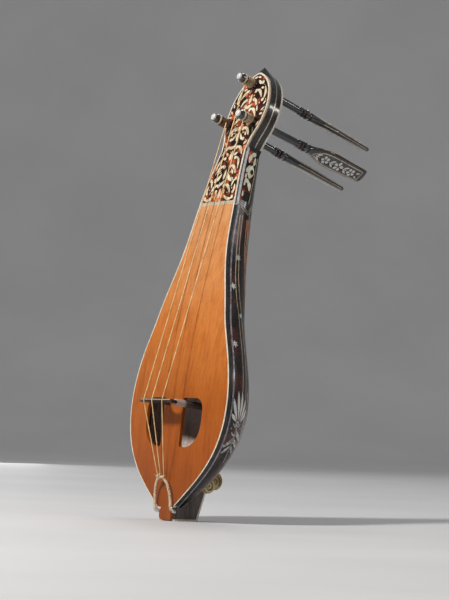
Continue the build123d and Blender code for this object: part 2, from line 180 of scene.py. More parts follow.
def soundboard_wood():
    """Oiled cypress: honey orange with fine upright grain, deeper and redder towards the foot, partly
    where varnish gathers and partly as painted shade for light falling off downwards.
    """
    g = Graph("soundboard_wood", Coat_Weight=0.12, Coat_Roughness=0.28, Specular_IOR_Level=0.28)
    line = g.stretch((1, 1, 0.016), g.warp(9.0, 0.006))
    fine = g.noise(1500.0, 3.0, line)
    bands = g.noise(330.0, 2.0, line)
    cloud = g.noise(16.0, 4.0)
    mottle = g.noise(95.0, 4.0, g.stretch((1, 1, 0.3)))
    height = g.node("SeparateXYZ", {"Vector": g.place}).outputs["Z"]
    # Height ramp, darker and redder towards the foot: partly varnish gathering there, partly painted
    # shade for light falling off downwards.
    varnish_and_painted_falloff = g.range(height, 0.0, 1.0, 0.01, 0.285)
    varnish_and_painted_falloff = g.math("ADD", varnish_and_painted_falloff, g.math("MULTIPLY", g.math("SUBTRACT", cloud, 0.5), 0.35))
    colour = g.ramp(
        varnish_and_painted_falloff,
        (0.02, (0.300, 0.070, 0.006)),
        (0.20, (0.385, 0.092, 0.008)),
        (0.40, (0.455, 0.122, 0.013)),
        (0.58, (0.590, 0.186, 0.031)),
        (0.80, (0.660, 0.265, 0.080)),
        (1.00, (0.680, 0.330, 0.140)),
    )
    tone = g.blend(fine, bands, 0.45)
    grain = g.ramp(tone, (0.36, (0.70, 0.60, 0.50)), (0.50, (0.95, 0.92, 0.88)), (0.62, WHITE))
    colour = g.mix(0.75, colour, grain, "MULTIPLY")
    colour = g.darken(colour, 0.55, mottle, 0.32, (0.72, 0.58, 0.46), 0.52)
    pores = g.noise(2600.0, 1.0, g.stretch((1, 1, 0.05)))
    colour = g.darken(colour, 0.6, pores, 0.27, (0.55, 0.42, 0.32), 0.34)
    g.finish(colour, g.range(cloud, 0.34, 0.50), fine, 0.00012, 0.3)


def tortoiseshell(name="tortoiseshell", red=0.5):
    """Nearly black shell with glowing red-orange patches."""
    g = Graph(name, Specular_IOR_Level=0.22)
    patches = g.noise(75.0, 3.0, g.warp(60.0, 0.01), 0.6)
    flecks = g.noise(420.0, 3.0)
    low = 0.615 - 0.22 * red
    colour = g.ramp(
        patches,
        (low - 0.08, (0.012, 0.005, 0.004)),
        (low, (0.060, 0.016, 0.008)),
        (low + 0.06, (0.300, 0.055, 0.016)),
        (low + 0.14, (0.600, 0.140, 0.036)),
        (low + 0.26, (0.720, 0.260, 0.080)),
    )
    colour = g.darken(colour, 0.7, flecks, 0.36, (0.30, 0.20, 0.16), 0.50)
    g.finish(colour, g.range(flecks, 0.36, 0.50), flecks, 0.00005, 0.15)


def stave_wood():
    """Shell-veneered staves: very dark brown with a breath of red."""
    g = Graph("stave_dark", Coat_Weight=0.16, Coat_Roughness=0.10, Specular_IOR_Level=0.35)
    patches = g.noise(38.0, 3.0, g.warp(30.0, 0.02), 0.8)
    streaks = g.noise(500.0, 3.0, g.stretch((1, 1, 0.06)))
    scuffs = g.noise(160.0, 5.0)
    colour = g.ramp(
        patches,
        (0.44, (0.010, 0.006, 0.005)),
        (0.56, (0.034, 0.011, 0.007)),
        (0.68, (0.120, 0.028, 0.014)),
    )
    colour = g.mix(g.range(streaks, 0.0, 0.5), colour, (0.018, 0.011, 0.009))
    g.finish(colour, g.range(scuffs, 0.20, 0.36), scuffs, 0.00006, 0.15)


def bone(name, pale, shade, roughness=0.34, grain=(1, 1, 0.05), scale=900.0):
    """Bone: cream with grey-brown canal streaks and dirt in its pores."""
    g = Graph(name, Specular_IOR_Level=0.28, Subsurface_Weight=0.12)
    g.shader.inputs["Subsurface Radius"].default_value = (0.002, 0.0012, 0.0007)
    g.shader.inputs["Subsurface Scale"].default_value = 0.5
    streaks = g.noise(scale, 3.0, g.stretch(grain))
    cloud = g.noise(60.0, 4.0)
    pores = g.noise(2400.0, 2.0, g.stretch(tuple(0.3 + 0.7 * s for s in grain)))
    colour = g.ramp(streaks, (0.34, shade), (0.56, pale))
    colour = g.darken(colour, 0.6, cloud, 0.36, (0.80, 0.72, 0.58), 0.60)
    colour = g.darken(colour, 0.7, pores, 0.28, (0.45, 0.36, 0.28), 0.37)
    g.finish(colour, g.range(cloud, roughness - 0.08, roughness + 0.1), streaks, 0.00006, 0.3)


def pearl(name, first, second, third):
    """Mother-of-pearl: milky, with slow green and rose clouds and fine layer lines."""
    g = Graph(name, Coat_Weight=0.3, Coat_Roughness=0.12)
    cloud = g.noise(210.0, 3.0, g.warp(120.0, 0.006), 1.2)
    layers = g.noise(900.0, 2.0, g.stretch((1, 0.25, 1)), 1.6)
    colour = g.ramp(cloud, (0.34, first), (0.50, second), (0.66, third))
    colour = g.darken(colour, 0.6, layers, 0.36, (0.62, 0.62, 0.60), 0.55)
    g.finish(colour, g.range(layers, 0.22, 0.38), layers, 0.00005, 0.25)


def ebony(name, turn=(0, 0, 0), grain=(1, 1, 0.04), gloss=0.2, coat=0.45):
    """Polished ebony: black, with brown-grey streaks along the grain and rubbed spots."""
    g = Graph(name, Coat_Weight=coat, Coat_Roughness=0.06)
    line = g.stretch(grain, turn=turn)
    streaks = g.noise(700.0, 4.0, line)
    rubs = g.noise(70.0, 5.0)
    colour = g.ramp(streaks, (0.48, (0.008, 0.007, 0.007)), (0.64, (0.044, 0.040, 0.040)))
    worn = g.ramp(rubs, (0.50, (0.0, 0.0, 0.0)), (0.72, (0.020, 0.015, 0.012)))
    colour = g.mix(0.7, colour, worn, "ADD")
    g.finish(colour, g.range(rubs, gloss - 0.05, gloss + 0.14), streaks, 0.00004, 0.2)


def plain_wood(name, dark, light, roughness, grain=(1, 1, 0.03), scale=900.0):
    """Unpolished wood or horn with fibres along the short axis of its grain."""
    g = Graph(name)
    line = g.stretch(grain, g.warp(20.0, 0.003))
    fibre = g.noise(scale, 4.0, line)
    rings = g.noise(scale * 0.22, 2.0, line)
    tone = g.blend(fibre, rings, 0.5)
    colour = g.ramp(tone, (0.38, dark), (0.62, light))
    g.finish(colour, g.range(fibre, roughness - 0.08, roughness + 0.08), fibre, 0.00015, 0.5)


def post_wood():
    """The sound post: its own pale wood at the front end, and painted shadow, near black-brown, further
    back where it stands in shade inside the bowl.
    """
    g = Graph("post_wood")
    fibre = g.noise(900.0, 4.0, g.stretch((1, 0.04, 1), g.warp(20.0, 0.003)))
    depth = g.node("SeparateXYZ", {"Vector": g.place}).outputs["Y"]
    pale = g.ramp(fibre, (0.38, (0.42, 0.31, 0.26)), (0.62, (0.66, 0.54, 0.47)))
    painted_shadow = g.ramp(fibre, (0.38, (0.050, 0.032, 0.024)), (0.62, (0.130, 0.088, 0.068)))
    # Behind about y = -8 mm the colour turns to painted shadow.
    colour = g.mix(g.range(depth, 0.0, 1.0, -0.0110, -0.0080), pale, painted_shadow)
    g.finish(colour, g.range(fibre, 0.55, 0.75), fibre, 0.00015, 0.5)


def metal(name, colour, tarnish, roughness=0.24):
    """Old silver: bright where it is rubbed, grey-brown in the hollows."""
    g = Graph(name, Metallic=1.0)
    cloud = g.noise(700.0, 4.0)
    scratches = g.noise(2500.0, 2.0, g.stretch((1, 0.1, 1)))
    tone = g.ramp(cloud, (0.36, tarnish), (0.56, colour))
    g.finish(tone, g.range(scratches, roughness - 0.08, roughness + 0.16), scratches, 0.00003, 0.3)


def gut(name, dark, light, roughness=0.32, scale=1400.0, turns=0.0):
    """Gut: translucent gold fibres; with turns, that many metres apart, it is wound round a peg, with
    painted shade in the grooves between the turns.
    """
    g = Graph(name, Subsurface_Weight=0.2, Subsurface_Radius=(0.001, 0.0006, 0.0003))
    g.shader.inputs["Subsurface Scale"].default_value = 0.5
    fibre = g.noise(scale, 3.0, g.stretch((1, 1, 0.12)))
    cloud = g.noise(120.0, 3.0)
    tone = g.blend(fibre, cloud, 0.5)
    colour = g.ramp(tone, (0.38, dark), (0.60, light))
    height = fibre
    if turns:
        place = g.stretch((1, 1, 1), g.warp(300.0, 0.0006), TILTED)
        feeds = {"Vector": place, "Scale": math.pi / 10 / turns}
        height = g.node("TexWave", feeds, bands_direction="Y").outputs["Fac"]
        # Dark lines between the turns are painted shade in the grooves between the coils.
        colour = g.darken(colour, 0.9, height, 0.10, (0.22, 0.16, 0.12), 0.55)
    g.finish(colour, g.range(cloud, roughness - 0.06, roughness + 0.12), height, 0.0002, 0.6)


soundboard_wood()
tortoiseshell()
tortoiseshell("panel_shell", 0.28)
tortoiseshell("red_shell", 0.9)
plain_wood("horn", (0.16, 0.075, 0.035), (0.36, 0.20, 0.11), 0.28)
plain_wood("dark_horn", (0.022, 0.010, 0.007), (0.085, 0.036, 0.024), 0.22)
pearl("pearl_line", (0.46, 0.46, 0.49), (0.70, 0.69, 0.72), (0.80, 0.77, 0.77))
stave_wood()
bone("bone", (0.82, 0.77, 0.66), (0.60, 0.52, 0.40))
bone("bone_line", (0.62, 0.54, 0.42), (0.36, 0.28, 0.19))
bone("bone_ring", (0.70, 0.60, 0.45), (0.42, 0.31, 0.20), 0.28)
bone("inlay_cream", (0.84, 0.76, 0.58), (0.56, 0.42, 0.22), 0.40, (1, 1, 0.3), 420.0)
# The scroll's bone colour, darkened partly as painted shade; the copy below is lighter, as painted
# highlight on the raised ribs.
bone("scroll_bone", (0.52, 0.43, 0.20), (0.26, 0.19, 0.06), 0.36, (1, 1, 0.4), 260.0)
bone("scroll_painted_highlight", (0.88, 0.80, 0.52), (0.58, 0.47, 0.22), 0.30, (1, 1, 0.4), 300.0)
pearl("pearl", (0.55, 0.66, 0.66), (0.80, 0.79, 0.72), (0.78, 0.68, 0.66))
pearl("pearl_green", (0.56, 0.58, 0.38), (0.82, 0.80, 0.60), (0.84, 0.72, 0.54))
pearl("pearl_grey", (0.14, 0.145, 0.14), (0.36, 0.35, 0.33), (0.74, 0.72, 0.70))
pearl("pearl_strip", (0.13, 0.13, 0.155), (0.26, 0.255, 0.29), (0.42, 0.40, 0.42))
ebony("ebony", TILTED)
ebony("peg_ebony", TILTED, (1, 0.04, 1), 0.14, 1.0)
ebony("edge_ebony", gloss=0.42, coat=0.0)
plain_wood("foot_wood", (0.024, 0.017, 0.015), (0.150, 0.112, 0.100), 0.42, (1, 1, 0.05), 1500.0)
plain_wood("bridge_wood", (0.010, 0.007, 0.006), (0.050, 0.030, 0.022), 0.4, (0.04, 1, 1))
post_wood()
plain_wood("lining_wood", (0.34, 0.26, 0.23), (0.60, 0.49, 0.44), 0.75)
plain_wood("block_wood", (0.30, 0.19, 0.10), (0.52, 0.37, 0.22), 0.7)
metal("silver", (0.86, 0.85, 0.82), (0.42, 0.38, 0.33))
metal("silver_line", (0.66, 0.56, 0.42), (0.30, 0.22, 0.14), 0.3)
gut("gut", (0.52, 0.32, 0.11), (0.86, 0.66, 0.36))
gut("gut_gold", (0.36, 0.25, 0.12), (0.66, 0.52, 0.32), turns=0.0008)
gut("gut_brown", (0.09, 0.040, 0.022), (0.26, 0.12, 0.06), turns=0.0010)
gut("tail_rope", (0.40, 0.26, 0.14), (0.84, 0.70, 0.50), 0.45)

# How a CAD node's name starts and the material it gets; the first start that fits counts.
FINISHES = [
    ("soundboard", "soundboard_wood"),
    ("face_plate", "tortoiseshell"),
    ("neck_panel", "panel_shell"),
    ("stave", "stave_dark"),
    ("fillet", "bone_line"),
    ("seam_band", "bone_line"),
    ("edging", "bone"),
    ("face_edging", "bone"),
    ("foot_edging", "bone"),
    ("head_back_edge", "bone"),
    ("head_line", "silver_line"),
    ("rim_strip", "pearl_strip"),
    ("foot", "foot_wood"),
    ("neck", "ebony"),
    ("bridge", "bridge_wood"),
    ("sound_post", "post_wood"),
    ("tail_block", "block_wood"),
    ("tail_pin", "silver"),
    ("tail_scroll", "scroll_bone"),
    ("tail_gut", "tail_rope"),
    ("string", "gut"),
]


def finish_for(node):
    """Name of the material that a CAD node gets."""
    if node.startswith("peg"):
        if node == "peg_left_winding":
            return "gut_brown"
        for part, finish in (("winding", "gut_gold"), ("tip", "pearl"), ("ring", "bone_ring")):
            if node.endswith(part):
                return finish
        return "dark_horn" if node.endswith("collar") else "peg_ebony"
    return next(finish for start, finish in FINISHES if node.startswith(start))


for node, thing in NODES.items():
    thing.data.materials.clear()
    thing.data.materials.append(MATS[finish_for(node)])


# ---------------------------------------------------------------- surfaces and inlay
TREES = {}


def tree(node):
    """Ray casting tree of a CAD node's mesh."""
    if node not in TREES:
        mesh = NODES[node].data
        points = [v.co for v in mesh.vertices]
        TREES[node] = BVHTree.FromPolygons(points, [tuple(p.vertices) for p in mesh.polygons])
    return TREES[node]


BOWL = sorted(n for n in NODES if n.startswith(("stave", "fillet", "rim_strip")))
STAVES = len([n for n in BOWL if n.startswith("stave")])
# Rays start this far out, in metres, which is outside the object.
REACH = 0.2
# The middle line of the bowl's rim, from which the joints between staves spread.
FAN_FOOT = Vector((0, -0.0072, 0.012))
FAN_NECK = Vector((0, 0.0370, 0.286))


def new_object(name, data):
    made = bpy.data.objects.new(name, data)
    bpy.context.scene.collection.objects.link(made)
    return made


def smooth_object(mesh, name, material):
    """Turns a bmesh into a smooth object."""
    data = bpy.data.meshes.new(name)
    mesh.to_mesh(data)
    mesh.free()
    data.materials.append(MATS[material])
    for polygon in data.polygons:
        polygon.use_smooth = True
    return new_object(name, data)


def add_piece(mesh, name, material, body="body", crease=60):
    """Makes a piece of a bmesh that rides on a body, smooth but for edges over the crease angle."""
    bmesh.ops.recalc_face_normals(mesh, faces=mesh.faces[:])
    made = smooth_object(mesh, name, material)
    made.data.set_sharp_from_angle(angle=math.radians(crease))
    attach(made, body)
    return made


class Surface:
    """A drawing plane in front of CAD nodes: a point (u, v) in mm drops on them along a ray."""

    def __init__(self, nodes, origin, ray, up=(0, 0, 1)):
        self.nodes = nodes
        self.origin = Vector(origin)
        self.ray = Vector(ray).normalized()
        self.v = (Vector(up) - self.ray * self.ray.dot(Vector(up))).normalized()
        self.u = self.ray.cross(self.v)

    def drop(self, u, v):
        return self.cast(self.origin + (self.u * u + self.v * v) * MM, self.ray)

    def cast(self, start, ray):
        """The first of the nodes that the ray meets: (point, outward normal, distance)."""
        found = None
        for node in self.nodes:
            point, normal, _, distance = tree(node).ray_cast(start, ray)
            if point and (found is None or distance < found[2]):
                found = (point, normal if normal.dot(ray) < 0 else -normal, distance)
        return found


class Fan(Surface):
    """The bowl seen from outside: u is mm round it from a joint between staves, v is the height."""

    def __init__(self, joint):
        super().__init__(BOWL, (0, 0, 0), (0, 1, 0))
        self.angle = math.pi * joint / STAVES

    def spoke(self, height, angle):
        """Where the bowl is in a direction from its middle line, and that line's point."""
        share = (height * MM - FAN_FOOT.z) / (FAN_NECK.z - FAN_FOOT.z)
        centre = FAN_FOOT.lerp(FAN_NECK, share)
        out = Vector((math.cos(angle), math.sin(angle), 0))
        found = self.cast(centre + out * REACH, -out)
        return found, centre

    def drop(self, u, v):
        found, centre = self.spoke(v, self.angle)
        radius = (found[0] - centre).length / MM
        return self.spoke(v, self.angle + u / radius)[0]


class Stroke:
    """A line with a half width at each of its points."""

    def __init__(self, points, widths):
        self.points = [Vector(p) for p in points]
        self.widths = list(widths)

    def mirrored(self):
        return Stroke([(-p.x, p.y) for p in self.points], self.widths)

    def discs(self):
        return np.array([(p.x, p.y, w) for p, w in zip(self.points, self.widths)])

    def sides(self):
        """Left and right outline points."""
        pairs = []
        for i, (p, w) in enumerate(zip(self.points, self.widths)):
            before = self.points[max(i - 1, 0)]
            after = self.points[min(i + 1, len(self.points) - 1)]
            along = (after - before).normalized()
            across = Vector((-along.y, along.x)) * w
            pairs.append((p + across, p - across))
        return pairs


def run(start, heading, length, bend, tip_bend, steps=14):
    """Points of a line that curls as it goes: degrees, millimetres, and bends in 1/mm."""
    points = [Vector(start)]
    angle = math.radians(heading)
    step = length / steps
    for i in range(steps):
        share = (i + 0.5) / steps
        angle += (bend + (tip_bend - bend) * share**2) * step
        points.append(points[-1] + Vector((math.cos(angle), math.sin(angle))) * step)
    return points


def leaf(start, heading, length, half, bend=0.0, belly=0.42, steps=12):
    """A pointed stroke, widest at the belly's share of its length."""
    points = run(start, heading, length, bend, bend, steps)
    power = math.log(0.5) / math.log(belly)
    widths = [max(0.1, half * math.sin(math.pi * (i / steps) ** power) ** 0.8) for i in range(steps + 1)]
    return Stroke(points, widths)


def curl(start, heading, length, half, turn=1, tip=0.42, bulb=1.25, steps=18):
    """A scroll stroke: thin stem, full belly and a round bulb in its curled end."""
    points = run(start, heading, length, turn * 0.03, turn * tip, steps)
    centre = length - half * bulb
    widths = []
    for i in range(steps + 1):
        at = length * i / steps
        belly = half * (0.28 + 0.72 * math.sin(math.pi * min(1.0, at / centre)) ** 1.2)
        round_end = (half * bulb) ** 2 - (at - centre) ** 2
        widths.append(max(0.12, belly if at < centre else 0, math.sqrt(max(0, round_end))))
    return Stroke(points, widths)


def disc(x, y, radius, steps=10):
    """A round dot, as a stroke across itself."""
    points = [(x - radius * math.cos(math.pi * i / steps), y) for i in range(steps + 1)]
    return Stroke(points, [max(0.06, radius * math.sin(math.pi * i / steps)) for i in range(steps + 1)])


def petals(x, y, count, inner, outer, half, start=90.0, belly=0.6):
    """Petals round a point, each a leaf with its belly towards the tip."""
    strokes = []
    for i in range(count):
        heading = start + 360.0 * i / count
        a = math.radians(heading)
        foot = (x + inner * math.cos(a), y + inner * math.sin(a))
        strokes.append(leaf(foot, heading, outer - inner, half, 0.0, belly))
    return strokes


class Inlay:
    """Closed thin pieces let into a surface and standing slightly proud of it, by so many mm."""

    SUNK = 0.3 * MM

    def __init__(self, surface, proud=0.14):
        self.surface = surface
        self.proud = proud * MM
        self.mesh = bmesh.new()

    def add(self, *strokes):
        """Adds the strokes that lie wholly on the surface, and leaves the others out."""
        for stroke in strokes:
            drops = [[self.surface.drop(*p) for p in pair] for pair in stroke.sides()]
            if all(d for pair in drops for d in pair):
                self.close(drops)
        return self

    def close(self, drops):
        """Makes one closed strip over the pairs of points found on the surface."""
        rows = []
        for left, right in drops:
            middle = (left[1] + right[1]).normalized()
            row = [left[0] + middle * self.proud, right[0] + middle * self.proud]
            row += [right[0] - middle * self.SUNK, left[0] - middle * self.SUNK]
            rows.append([self.mesh.verts.new(p) for p in row])
        for a, b in zip(rows, rows[1:]):
            for i in range(4):
                j = (i + 1) % 4
                self.mesh.faces.new((a[i], a[j], b[j], b[i]))
        self.mesh.faces.new(rows[0][::-1])
        self.mesh.faces.new(rows[-1])

    def finish(self, name, material, slot, body="body"):
        add_piece(self.mesh, name, material, body, crease=30)


class Filler:
    """Packs strokes into a region, big ones first, with a gap between them."""

    def __init__(self, surface, seed, gap, margin):
        self.surface = surface
        self.random = random.Random(seed)
        self.gap = gap
        self.margin = margin
        self.taken = np.zeros((0, 3))
        self.strokes = []

    def fits(self, stroke):
        """True if the stroke keeps the gap to the others and the margin to the surface's edge."""
        discs = stroke.discs()
        if len(self.taken):
            apart = np.hypot(discs[:, None, 0] - self.taken[:, 0], discs[:, None, 1] - self.taken[:, 1])
            if (apart - discs[:, None, 2] - self.taken[:, 2]).min() < self.gap:
                return False
        for x, y, w in discs[::2]:
            reach = w + self.margin
            for du, dv in ((reach, 0), (-reach, 0), (0, reach), (0, -reach)):
                if not self.surface.drop(x + du, y + dv):
                    return False
        return True

    def offer(self, *strokes):
        for stroke in strokes:
            if self.fits(stroke):
                self.strokes.append(stroke)
                self.taken = np.vstack([self.taken, stroke.discs()])

    def scatter(self, count, make, box):
        """Tries count strokes at random places in the box (u low, u high, v low, v high)."""
        for _ in range(count):
            u = self.random.uniform(box[0], box[1])
            v = self.random.uniform(box[2], box[3])
            self.offer(make(self.random, u, v))


def random_curl(shortest, longest, half):
    def make(rng, u, v):
        length = rng.uniform(shortest, longest)
        heading = rng.choice((58, 122, 74, 106, 238, 302)) + rng.uniform(-24, 24)
        return curl((u, v), heading, length, half * rng.uniform(0.85, 1.15), rng.choice((-1, 1)),
                    rng.uniform(4.2, 5.6) / length)
    return make


def random_leaf(shortest, longest, half):
    def make(rng, u, v):
        length = rng.uniform(shortest, longest)
        return leaf((u, v), 90 + rng.uniform(-80, 80), length, half * rng.uniform(0.8, 1.1),
                    rng.uniform(-0.14, 0.14))
    return make


def random_dot(rng, u, v):
    return disc(u, v, rng.uniform(0.5, 0.8))


def spaced(low, high, count):
    """Numbers from low to high in equal steps, count of them."""
    return [low + (high - low) * i / count for i in range(count + 1)]


def box_mm(node):
    low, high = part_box(node)
    return low / MM, high / MM


def beside_peg(surface, stroke, clearance=0.5):
    """True if the stroke would come nearer to a peg than the clearance, in mm."""
    for pair in stroke.sides():
        for found in (surface.drop(*p) for p in pair):
            if found and any(tree(peg).find_nearest(found[0], clearance * MM)[0] for peg in JOINTS):
                return True
    return False


def face_inlay():
    """Dense mirrored scrollwork over the neck and head."""
    low, high = box_mm("face_plate")
    front = Surface(["face_plate"], (0, -REACH, 0), (0, 1, 0))
    filler = Filler(front, seed=7, gap=0.62, margin=0.7)
    row = 18.0
    first_row = low.z + 6.5
    rows = int((high.z - low.z - 12) / row)
    for k in range(rows + 1):
        z = first_row + k * row
        filler.offer(leaf((0, z - 3), 90, 9.5, 1.9))
        filler.offer(curl((1.8, z), 62, 18.5, 1.55, -1, 0.29))
        filler.offer(curl((16.0, z + 2), 118, 17.0, 1.55, 1, 0.31))
    wide = (1.0, high.x, low.z, high.z)
    filler.scatter(900, random_curl(13, 18, 1.6), wide)
    filler.scatter(1100, random_curl(9, 12, 1.35), wide)
    filler.scatter(900, random_leaf(4.5, 7.0, 1.15), wide)
    filler.scatter(260, random_dot, wide)
    drawn = list(filler.strokes)
    drawn += [s.mirrored() for s in drawn if min(p.x - w for p, w in zip(s.points, s.widths)) > 0]
    inlay = Inlay(front).add(*[s for s in drawn if not beside_peg(front, s)])
    inlay.finish("face_scrollwork", "inlay_cream", "bone")


MIRROR = {"stave_%d" % i: "stave_%d" % (STAVES + 1 - i) for i in range(1, STAVES + 1)}
MIRROR.update({"fillet_%d" % i: "fillet_%d" % (STAVES - i) for i in range(1, STAVES)})
FROM_RIGHT = (-1, 0, 0)


def both_sides(name, strokes, nodes, material, slot,
               centre=(0, 0, 0), ray=FROM_RIGHT, up=(0, 0, 1), proud=0.12):
    """The same strokes on the right side and, mirrored, on the left."""
    for side, word in ((1, "right"), (-1, "left")):
        named = [n.replace("right", word) for n in nodes]
        if side < 0:
            named = [MIRROR.get(n, n) for n in named]
        origin = Vector((side * centre[0], centre[1], centre[2]))
        direction = Vector((side * ray[0], ray[1], ray[2]))
        surface = Surface(named, origin - direction.normalized() * REACH, direction, up)
        drawn = strokes if side > 0 else [s.mirrored() for s in strokes]
        inlay = Inlay(surface, proud).add(*drawn)
        inlay.finish("%s_%s" % (name, word), material, slot)


def panel_line(node):
    """Centre of a long flat node and the way it runs, in the YZ plane."""
    points = np.array([v.co for v in NODES[node].data.vertices])[:, 1:]
    centre = (points.min(0) + points.max(0)) / 2
    spread = np.linalg.eigh(np.cov((points - centre).T))[1][:, -1]
    along = spread * np.sign(spread[1])
    return centre, (0, along[0], along[1])


def neck_side():
    """Pearl leaves, hooks and a broad flower on the shell panels of the neck."""
    panel = "neck_panel_right"
    centre, up = panel_line(panel)
    place = (0, centre[0], centre[1])
    strokes = [
        curl((-2.6, 12.6), 92, 12.5, 1.7, -1, 0.40),
        leaf((2.4, 11.2), 72, 8.5, 1.3, 0.06),
        leaf((-3.8, 2.6), 84, 8.5, 1.2, -0.05),
        leaf((0.4, -2.2), 86, 13.6, 3.5, 0.0, 0.5),
        leaf((4.2, 1.0), 76, 7.6, 1.0, 0.08),
        leaf((-3.2, -3.0), 104, 5.0, 1.0, -0.1),
        curl((2.9, -13.4), 94, 12.5, 1.75, 1, 0.42),
        leaf((-3.4, -10.4), 84, 5.0, 0.9, 0.05),
        curl((2.7, -25.0), 94, 12.0, 1.75, 1, 0.42),
        leaf((-3.2, -21.0), 84, 5.5, 0.9, 0.05),
    ]
    both_sides("neck_flowers", strokes, [panel], "pearl_green", "pearl", place, up=up)
    back = [upright(5.7, -25.0, 20.0, 0.35, 30)]
    both_sides("neck_gold", back, [panel, "neck"], "bone_ring", "bone", place, up=up)


def chevrons():
    """Two pointed light lines where the neck meets the bowl."""
    low = box_mm("neck_panel_right")[0]
    top = low.z - 1.5
    tip = low.z - 8.5
    front = low.y + 1.0
    reach = 8.0
    strokes = []
    for drop in (0.0, 2.6):
        for end in (0.0, 2 * reach):
            points = list(zip(spaced(front + end, front + reach, 8), spaced(top - drop, tip - drop, 8)))
            strokes.append(Stroke(points, [0.35] * len(points)))
    nodes = ["neck", "neck_panel_right", "face_edging", "edging_right", "rim_strip_right"]
    nodes += ["stave_1", "stave_2", "fillet_1"]
    both_sides("heel_chevrons", strokes, nodes, "bone_line", "bone_line")


def star(u, v, size=3.2):
    """Six short petals round a point."""
    return petals(u, v, 6, 0.3, size, 0.6, 90, 0.4)


def spray_petals():
    """Fan of six long petals above the heart of a lily, which is the origin."""
    strokes = []
    for turn, length in ((5, 25), (-15, 25), (27, 20), (-37, 20), (50, 9), (-60, 15)):
        a = math.radians(90 + turn)
        foot = (3.4 * math.cos(a), 3.4 * math.sin(a))
        strokes.append(leaf(foot, 90 + turn, length, 1.6, -0.010 * turn / 15, 0.58, 16))
    return strokes


def spray_leaves():
    """The heart of the lily, its stem, hanging leaves and buds."""
    strokes = petals(0, 0, 6, 0.6, 3.0, 0.95, 0)
    stem = run((0, -3.6), 268, 34, 0.004, 0.03, 20)
    strokes.append(Stroke(stem, [0.45] * len(stem)))
    for down, length, wide in ((5.5, 16, 1.9), (13, 14, 1.7), (20, 11, 1.4)):
        for side in (1, -1):
            down_leaf = leaf((side * 1.0, -down), 270 + side * 34, length, wide, side * 0.035, 0.5, 14)
            up_leaf = leaf((side * 1.1, -down + 2.4), 90 - side * 66, length * 0.40, 0.8, side * 0.08)
            strokes += [down_leaf, up_leaf]
    strokes += [disc(6.8, -4.0, 0.8), disc(-6.8, -4.0, 0.8)]
    return strokes


def bowl_side():
    """Sprays and stars on the outermost staves, which are the ones seen beside the front."""
    heart, outward, _ = Surface(["stave_1"], (REACH, 0.010, 0.088), FROM_RIGHT).drop(0, 0)
    both_sides("side_petals", spray_petals(), ["stave_1"], "pearl", "pearl", heart, -outward)
    both_sides("side_leaves", spray_leaves(), ["stave_1"], "pearl_grey", "pearl", heart, -outward)
    stars = star(31.5, 236.5) + star(20.5, 210.5) + star(11.5, 158.5) + star(25.5, 184, 2.2)
    both_sides("side_stars", stars, ["stave_1"], "pearl", "pearl")


# Depth and height in mm of the light lines on the flank, from the top down.
HEEL_LINE = [
    (36.7, 276), (32.0, 251), (28.3, 233), (24.5, 216),
    (22.4, 198), (22.6, 180), (20.5, 162), (14.8, 116),
]
FOOT_LINE = [(20.3, 116), (20.4, 85), (19.8, 70), (16.8, 44)]


def flank_lines():
    """Light lines in pairs down each flank: from the heel to the spray, and behind it to the foot.

    The second line of a pair runs behind the first, with a gap that changes evenly on the way down.
    """
    steps = 80
    strokes = []
    for line, top_gap, low_gap in ((HEEL_LINE, 2.6, 5.5), (FOOT_LINE, 4.0, 2.6)):
        path = smooth_path([(y, z, 0) for y, z in line], steps)
        gaps = spaced(top_gap, low_gap, steps)
        for share in (0, 1):
            points = [(p.x + gap * share, p.y) for p, gap in zip(path, gaps)]
            strokes.append(Stroke(points, [0.42] * len(points)))
    nodes = ["stave_1", "fillet_1", "stave_2"]
    both_sides("flank_lines", strokes, nodes, "bone_line", "bone_line", proud=0.08)


def bowl_back():
    """A spray on the middle stave and stars down its neighbours."""
    surface = Surface(["stave_4"], (0, REACH, 0.100), (0, -1, 0))
    drawn = Inlay(surface).add(*spray_petals()).add(*spray_leaves())
    drawn.finish("back_spray", "pearl_grey", "pearl")
    strokes = star(0, 60) + star(0, 95, 2.4) + star(0, 125, 2.2)
    Inlay(surface).add(*strokes).finish("back_stars", "pearl", "pearl")
    for joint in (1.5, 2.5, 4.5, 5.5):
        fan = Fan(joint)
        strokes = star(0, 75) + star(0, 115) + star(0, 165, 2.4)
        Inlay(fan).add(*strokes).finish("stave_stars_%d" % (joint * 10), "pearl", "pearl")


def upright(u, low, high, half, steps=60):
    """A straight stroke up the surface."""
    return Stroke([(u, v) for v in spaced(low, high, steps)], [half] * (steps + 1))


def stave_bands():
    """Each joint of the bowl is a light fillet between two red bands and two more light lines."""
    low, high = 27.0, 272.0
    for joint in range(1, STAVES):
        fan = Fan(joint)
        lines = [upright(u, low, high, 0.32) for u in (-3.6, 3.6)]
        bands = [upright(u, low, high, 1.15) for u in (-2.0, 2.0)]
        Inlay(fan).add(*lines).finish("stave_lines_%d" % joint, "bone_line", "bone_line")
        drawn = Inlay(fan, 0.08).add(*bands)
        drawn.finish("stave_bands_%d" % joint, "red_shell", "tortoiseshell")


def edge_line(nodes, heights):
    """Depth (y, mm) of the right side's front corner at each height, found by rays from the side."""
    step_back, coarse, fine = 3.0, 0.5, 0.02
    facing_side = 0.25
    side = Surface(nodes, (REACH, 0, 0), FROM_RIGHT)
    found = []
    for z in heights:
        y = found[-1] - step_back if found else box_mm(nodes[0])[0].y - 1.0
        step = coarse
        while step > fine:
            hit = side.drop(y + step, z)
            if hit and hit[1].x > facing_side:
                step /= 2
            else:
                y += step
        found.append(y + step)
    return found


def band_along(depth, half, heights, edge):
    """A stroke that stays the same depth behind the edge."""
    return Stroke([(y + depth, z) for y, z in zip(edge, heights)], [half] * len(heights))


